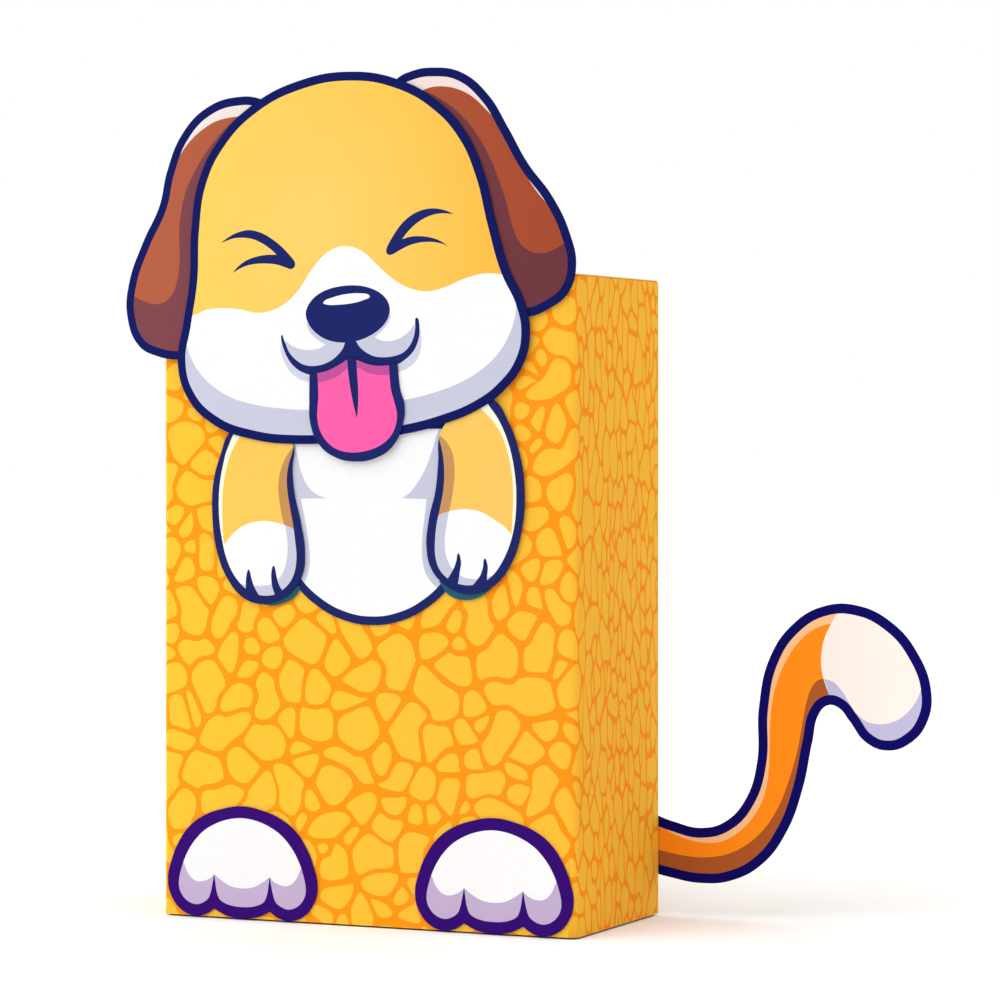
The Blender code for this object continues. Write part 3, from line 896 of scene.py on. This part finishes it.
def seam():
    """The glued seam's strip on the back, printed out of step with the panel under it."""
    low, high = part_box("back_seam_strip")
    middle = (low.x + high.x) / 2 / MM
    half = (high.x - low.x) / 2 / MM
    face = high.y / MM

    def place(u, v, depth):
        return (middle - u) * MM, (face - PAPER * depth) * MM, v * MM

    art = printed_area(-half, half, 0, WALL_TOP, shift=SEAM_SHIFT)
    made = printed_sheet("printed_seam_strip", art[0][1], art, place, "inside_paper", "inside_paper")
    stands_for(made, "back_seam_strip")


def roof_panel(front_edge, rear_edge):
    """The flat of the closed end, its corner rounded where it meets the right front fold."""
    def on_top(u, v, depth):
        return u * MM, v * SQUEEZE * MM, (BAG_TOP - PAPER * depth) * MM

    art = printed_area(-HALF_WIDTH, HALF_WIDTH, front_edge / SQUEEZE, rear_edge / SQUEEZE)
    radius = FOLD_RADII[2]
    corner = [(HALF_WIDTH - radius * (1 - math.sin(angle)),
               (FRONT_FACE + radius * (1 - math.cos(angle))) / SQUEEZE)
              for angle in np.linspace(math.acos(1 - PAPER / radius), QUARTER_TURN, FOLD_STEPS)]
    outline = [art[0][1][0], *corner, *art[0][1][2:]]
    made = printed_sheet("printed_roof", outline, art, on_top, "inside_paper", "bag_yellow")
    stands_for(made, "roof_panel")


def roof_fold(name, edge, outwards, radius, half_width):
    """The strip that bends over the bag's top edge, from a body's paper up to the roof.

    edge is where the roof's flat ends, and outwards is 1 at the back and -1 at the front.
    """
    def place(u, v, depth):
        angle = v / radius * QUARTER_TURN
        reach = radius - PAPER * depth
        return (-outwards * u * MM, (edge + outwards * reach * math.cos(angle)) * MM,
                (BAG_TOP - radius + reach * math.sin(angle)) * MM)

    lines = [((-half_width - PAST, v), (half_width + PAST, v))
             for v in np.linspace(0, radius, FOLD_STEPS)[1:-1]]
    art = printed_area(-half_width, half_width, 0, radius)
    made = printed_sheet(name, art[0][1], art, place, "inside_paper", "bag_yellow", lines)
    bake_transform(made)


def roof():
    """The closed end of the bag, with its folds down to the back and to the flap."""
    low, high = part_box("flap_panel")
    flap_face = low.y / MM
    flap_edge = high.x / MM
    front_edge = FRONT_FACE + PAPER
    rear_edge = BACK_FACE - TOP_FOLD_RADIUS
    roof_panel(front_edge, rear_edge)
    roof_fold("roof_back_fold", rear_edge, 1, TOP_FOLD_RADIUS, HALF_WIDTH - PAPER)
    roof_fold("roof_flap_fold", front_edge, -1, front_edge - flap_face, flap_edge)
    outline = cad_outline("flap_panel")
    art = printed_area(-flap_edge, flap_edge, FLAP_PRINT_BOTTOM, BAG_TOP)
    made = printed_sheet("printed_flap", outline, [("bag_orange", outline), *art[1:]],
                         upright(flap_face, PAPER), "inside_paper", "inside_paper")
    stands_for(made, "flap_panel")


def hem():
    """The flap's hem, which keeps its CAD solid."""
    for held in frame["nodes"]["flap_hem"].material_slots:
        held.material = ink("inside_paper")


def tucks():
    """The tucks, drawn just under the roof. Their corners stay inside the rounded folds."""
    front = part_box("roof_panel")[0].z / MM - TUCK_GAP
    cut = max(FOLD_RADII)
    for side, sign in (("left", -1), ("right", 1)):
        node = "roof_tuck_" + side
        low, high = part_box(node)
        middle = (low.y + high.y) / 2 / MM
        half = (high.y - low.y) / 2 / MM
        outline = [(HALF_WIDTH, middle - half + cut), (HALF_WIDTH, middle + half - cut),
                   (HALF_WIDTH - cut / 2, middle + half - cut / 2), (HALF_WIDTH - half, middle),
                   (HALF_WIDTH - cut / 2, middle - half + cut / 2)]

        def lying(u, v, depth, sign=sign, middle=middle):
            return sign * u * MM, (middle - sign * (middle - v)) * MM, (front - TUCK * depth) * MM

        made = printed_sheet("paper_tuck_" + side, outline, [("inside_paper", outline)], lying,
                             "inside_paper", "inside_paper")
        stands_for(made, node)


# The cards

def cad_outline(node):
    """The outline of an upright CAD card as a counterclockwise loop, read from its front face."""
    mesh = frame["nodes"][node].data
    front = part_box(node)[0].y + NEAR * MM
    sides = set()
    for face in mesh.polygons:
        corners = [mesh.vertices[index].co for index in face.vertices]
        if max(corner.y for corner in corners) < front:
            keys = [(round(corner.x / MM, 3), round(corner.z / MM, 3)) for corner in corners]
            sides.update(zip(keys, keys[1:] + keys[:1]))
    ahead = {start: end for start, end in sides if (end, start) not in sides}
    loop = [min(ahead)]
    while ahead[loop[-1]] != loop[0]:
        loop.append(ahead[loop[-1]])
    return loop


def upright(front, thickness):
    """Places the points of an upright sheet whose front stands at the given depth."""
    return lambda x, z, depth: (x * MM, (front + thickness * depth) * MM, z * MM)


def region(ink_name, points, *far):
    """An inked region: a loop, or the side of an edge that the far corners lie on."""
    return ink_name, smooth(area(points, *far) if far else points)


def card_sheet(name, outline, node, art, border, folds=()):
    """A printed sheet of card that lies level with a CAD card."""
    place = upright(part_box(node)[0].y / MM, CARD)
    return printed_sheet(name, outline, [(border, outline), *art], place, "bare_card", border, folds)


def card(node, art, border):
    """The printed card that stands for a CAD node."""
    stands_for(card_sheet("printed_" + node, cad_outline(node), node, art, border), node)


def opened(loop, axis, cut):
    """A loop turned so that its closing side is the one that lies along a cut."""
    along = [abs(spot[axis] - cut) < NEAR for spot in loop]
    last = next(index for index in range(len(loop)) if along[index] and along[index + 1 - len(loop)])
    return loop[last + 1:] + loop[:last + 1]


def opened_at_crease(nodes, axis):
    """The outlines of two CAD cards, both opened at their cut sides, and where the two cuts lie.

    nodes are the card at the lower end of the axis and the one at its upper end.
    """
    loops = [cad_outline(node) for node in nodes]
    cuts = [max(spot[axis] for spot in loops[0]), min(spot[axis] for spot in loops[1])]
    return *(opened(loop, axis, cut) for loop, cut in zip(loops, cuts)), cuts


def crease(name, nodes, axis, art, border):
    """The narrow printed strip that joins two CAD cards across a crease."""
    lower, upper, cuts = opened_at_crease(nodes, axis)
    outline = [lower[-1], upper[0], upper[-1], lower[0]]
    across = [spot[1 - axis] for spot in outline]
    ends = min(across) - PAST, max(across) + PAST
    folds = [[(end, place) if axis else (place, end) for end in ends]
             for place in np.linspace(*cuts, FOLD_STEPS)[1:-1]]
    made = card_sheet(name, outline, nodes[0], art, border, folds)
    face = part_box(nodes[0])[0].y
    start, end = ((0, face, cut * MM) if axis else (cut * MM, face, 0) for cut in cuts)
    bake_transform(made)
    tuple(start)
    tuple(end)


def head():
    """The face."""
    card("head_card", [
        ("face_yellow", inset(cad_outline("head_card"), HEAD_BORDER)),
        region("white", MUZZLE_EDGE, (95, 251), (95, 170), (-110, 170), (-110, 238)),
        region("lilac", CHIN_EDGE, (95, 246), (95, 170), (-110, 170), (-110, 236)),
        region("lilac", LEFT_CHEEK),
        region("lilac", RIGHT_CHEEK),
        region("pale_lilac", LEFT_SMILE_SHADE),
        region("pale_lilac", RIGHT_SMILE_SHADE),
        region("mark_navy", SMILE),
        region("mark_navy", NOSE),
        region("white", NOSE_LIGHT),
        region("mark_navy", LEFT_EYE),
        region("mark_navy", RIGHT_EYE),
    ], "navy")


def ears():
    """The two ears, each light at its rim, brown in the middle and dark underneath."""
    shades = {
        "left_ear_card": [
            region("ear_brown", LEFT_EAR_BROWN_EDGE, (-30, 318), (-30, 200), (-120, 200)),
            region("ear_dark", LEFT_EAR_DARK_EDGE, (-120, 249), (-120, 200), (-30, 200), (-30, 322)),
        ],
        "right_ear_card": [
            region("ear_brown", RIGHT_EAR_BROWN_EDGE, (112, 266), (112, 200), (-5, 200)),
            region("ear_dark", RIGHT_EAR_DARK_EDGE, (110, 268), (110, 200), (-5, 200), (-5, 329)),
        ],
    }
    for node, art in shades.items():
        rim = inset(cad_outline(node), EAR_BORDER)
        card(node, [("ear_light", rim), *art], "navy")


def tongue():
    """The tongue, shaded under the lip."""
    card("tongue_card", [
        region("tongue_pink", TONGUE_INSIDE),
        region("tongue_shade", TONGUE_SHADE_EDGE, (20, 230), (-26, 230)),
        region("mark_navy", TONGUE_LINE),
    ], "mark_navy")


def belly():
    """The white belly, shaded beside the arms."""
    card("torso_card", [
        ("white", inset(cad_outline("torso_card"), BELLY_BORDER)),
        region("lilac", LEFT_BELLY_SHADE),
        region("lilac", RIGHT_BELLY_SHADE),
    ], "arm_navy")


def paw_shadow_sheet(side, outline):
    """The teal sheet that shows below a paw and lifts with it: a painted shadow of the paw."""
    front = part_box(side + "_arm_card")[1].y / MM + PAW_SHADOW_GAP
    made = printed_sheet(side + "_paw_underlay", outline, [("teal", outline)],
                         upright(front, PAW_SHADOW_THICKNESS), "teal", "teal")
    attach(made, side + "_paw")


def arms():
    """Each arm in two cards with a crease between them, and the painted shadow sheet below its paw."""
    arts = {
        "left": [
            region("arm_cream", LEFT_ARM_INSIDE),
            region("arm_yellow", LEFT_ARM_RIM_EDGE, (-60, 115), (-15, 115), (-15, 215)),
            region("arm_tan", LEFT_ARM_SHADOW_EDGE, (-15, 155), (-15, 190)),
            region("white", LEFT_PAW_TOP_EDGE, (-15, 154), (-15, 110), (-85, 110), (-85, 144)),
            region("lilac", LEFT_PAW_SHADE_EDGE, (-29, 154.4), (-15, 150), (-15, 110), (-65, 110)),
            *(region("arm_navy", toe) for toe in LEFT_TOES),
        ],
        "right": [
            region("arm_cream", RIGHT_ARM_INSIDE),
            region("arm_yellow", RIGHT_ARM_RIM_EDGE, (60, 115), (15, 115), (15, 220), (40, 220)),
            region("arm_tan", RIGHT_ARM_SHADOW_EDGE, (15, 158), (15, 196)),
            region("white", RIGHT_PAW_TOP_EDGE, (85, 150), (85, 110), (15, 110), (15, 158)),
            region("lilac", RIGHT_PAW_SHADE_EDGE,
                   (62, 110), (15, 110), (15, 155), (28, 158.6), (32.2, 160.9)),
            *(region("arm_navy", toe) for toe in RIGHT_TOES),
        ],
    }
    paw_shadows = {"left": LEFT_PAW_SHADOW, "right": RIGHT_PAW_SHADOW}
    for side, art in arts.items():
        nodes = (side + "_arm_card", side + "_arm_shoulder")
        for node in nodes:
            card(node, art, "arm_navy")
        crease(side + "_paw_crease", nodes, 1, art, "arm_navy")
        paw_shadow_sheet(side, smooth(paw_shadows[side]))


def feet():
    """Two equal feet with three toes."""
    inside_loop = [*HALF_FOOT_INSIDE, *mirrored(HALF_FOOT_INSIDE[1:-1])]
    shade_edge = [*mirrored(HALF_FOOT_SHADE_EDGE[1:]), *HALF_FOOT_SHADE_EDGE]
    for node in ("left_foot_card", "right_foot_card"):
        low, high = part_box(node)
        middle = (low.x + high.x) / 2 / MM
        card(node, [
            region("white", moved(inside_loop, middle)),
            region("violet_shade", moved(shade_edge, middle), (middle + 40, -9), (middle - 40, -9)),
        ], "violet")


def tail():
    """The tail with its glued root and the crease between them."""
    nodes = ("tail_tab", "tail_card")
    lower, upper, _ = opened_at_crease(nodes, 0)
    art = [
        ("tail_orange", inset(lower + upper, TAIL_BORDER)),
        region("tail_light", TAIL_LIGHT_EDGE, (172, 140), (50, 140), (50, 36)),
        region("tail_shadow", TAIL_SHADOW_EDGE, (170, 50), (170, 0), (50, 0), (50, 28)),
        region("tail_tip", TAIL_TIP_EDGE, (165, 50), (230, 50), (230, 140), (168, 140)),
        region("tail_tip_shade", TAIL_TIP_SHADE_EDGE,
               (230, 98), (230, 50), (165, 50), (165, 84), (162.6, 89.5)),
    ]
    for node in nodes:
        card(node, art, "tail_blue")
    crease("tail_crease", nodes, 0, art, "tail_blue")


# The studio

def studio_floor():
    """A pale floor, a little below the puppet."""
    mesh = bpy.data.meshes.new("studio_floor")
    corners = [(-1, -1), (1, -1), (1, 1), (-1, 1)]
    mesh.from_pydata([(x * FLOOR_REACH, y * FLOOR_REACH, FLOOR_LEVEL) for x, y in corners],
                     [], [(0, 1, 2, 3)])
    pale = bpy.data.materials.new("studio_floor")
    pale.use_nodes = True
    shader = pale.node_tree.nodes["Principled BSDF"]
    shader.inputs["Base Color"].default_value = (FLOOR_GREY, FLOOR_GREY, FLOOR_GREY, 1)
    shader.inputs["Roughness"].default_value = FLOOR_ROUGHNESS
    shader.inputs["Specular IOR Level"].default_value = 0
    mesh.materials.append(pale)
    placed("studio_floor", mesh)


def studio_light():
    """Even white light all round, and a soft key light from the front and above."""
    world = bpy.data.worlds.new("studio")
    world.use_nodes = True
    background = world.node_tree.nodes["Background"]
    background.inputs["Color"].default_value = (1, 1, 1, 1)
    background.inputs["Strength"].default_value = 1
    bpy.context.scene.world = world
    key = bpy.data.lights.new("key", "SUN")
    key.energy = KEY_STRENGTH
    key.angle = math.radians(KEY_SOFTNESS)
    placed("key", key).rotation_euler = Vector(KEY_DIRECTION).to_track_quat("-Z", "Y").to_euler()


def studio_camera():
    """The camera, level and turned towards the bag's right front edge."""
    view = bpy.data.cameras.new("camera")
    view.sensor_width = 36
    view.lens = CAMERA_LENS
    view.shift_y = CAMERA_SHIFT
    view.clip_end = 50
    camera = placed("camera", view)
    camera.location = CAMERA_PLACE
    camera.rotation_euler = (QUARTER_TURN, 0, math.radians(CAMERA_TURN))
    bpy.context.scene.camera = camera
    bpy.context.scene.view_settings.view_transform = "Standard"


BLOBS = giraffe_print()
walls()
wall_folds()
seam()
roof()
hem()
tucks()
head()
ears()
tongue()
belly()
arms()
feet()
tail()
studio_floor()
studio_light()
studio_camera()
